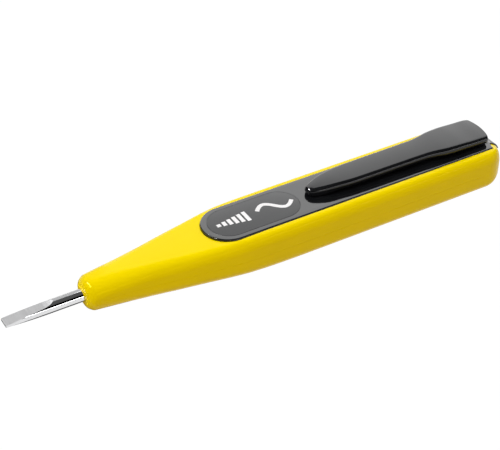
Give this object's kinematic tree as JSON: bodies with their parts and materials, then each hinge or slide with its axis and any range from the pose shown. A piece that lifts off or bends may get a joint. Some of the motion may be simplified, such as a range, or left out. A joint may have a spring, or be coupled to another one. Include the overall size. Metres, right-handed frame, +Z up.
{
  "type": "non-contact voltage tester",
  "caption": "Slim tester pen: tapered two-part grip, flat screwdriver blade, lift-off battery cover with sprung pocket clip, button cells and indicator inside.",
  "frame": {"origin": "on the flat underside, below the middle of the overall length and width", "axes": "+X along the pen from the blade's tip to the rear end, +Z up from the underside to the pocket clip, +Y to the side with the indicator window"},
  "size_m": [0.1322, 0.0176, 0.0141],
  "materials": {
    "yellow_plastic": "glossy moulded yellow plastic",
    "black_plastic": "glossy moulded black plastic",
    "label_film": null,
    "chromed_steel": "bright chrome plate, ground grey on the blade's flats",
    "spring_steel": "nickel plated spring steel",
    "cell_steel": "nickel plated cell can",
    "board": "green circuit board",
    "component_black": "moulded epoxy",
    "component_tan": "lacquered component body",
    "led_red": "tinted red epoxy",
    "lens_clear": "clear moulded plastic window"
  },
  "bodies": {
    "grip": {"lower_shell": "yellow_plastic", "upper_shell": "yellow_plastic", "blade": "chromed_steel", "blade_spring": "spring_steel", "blade_contact": "spring_steel", "circuit_board": "board", "inverter_chip": "component_black", "resistor_1": "component_tan", "resistor_2": "component_tan", "resistor_3": "component_tan", "resistor_4": "component_tan", "disc_capacitor": "component_tan", "transistor": "component_black", "red_led": "led_red", "led_lens": "lens_clear", "button_cell_1": "cell_steel", "button_cell_2": "cell_steel", "cell_plus_contact": "spring_steel", "cell_spring": "spring_steel", "cell_minus_strip": "spring_steel", "touch_contact": "chromed_steel"},
    "cover": {"cover_strip": "black_plastic", "cover_label": "label_film"},
    "clip": {"pocket_clip": "black_plastic"}
  },
  "joints": [
    {"name": "cover_lift", "type": "slide", "parent": "grip", "child": "cover", "axis": [0, 0, 1], "range_m": [0, 0.015]},
    {"name": "clip_flex", "type": "hinge", "parent": "cover", "child": "clip", "pos_m": [0.0589, 0, 0.0119], "axis": [0, 1, 0], "range_deg": [0, 3.5], "stiffness_Nm_per_rad": 1.5}
  ]
}
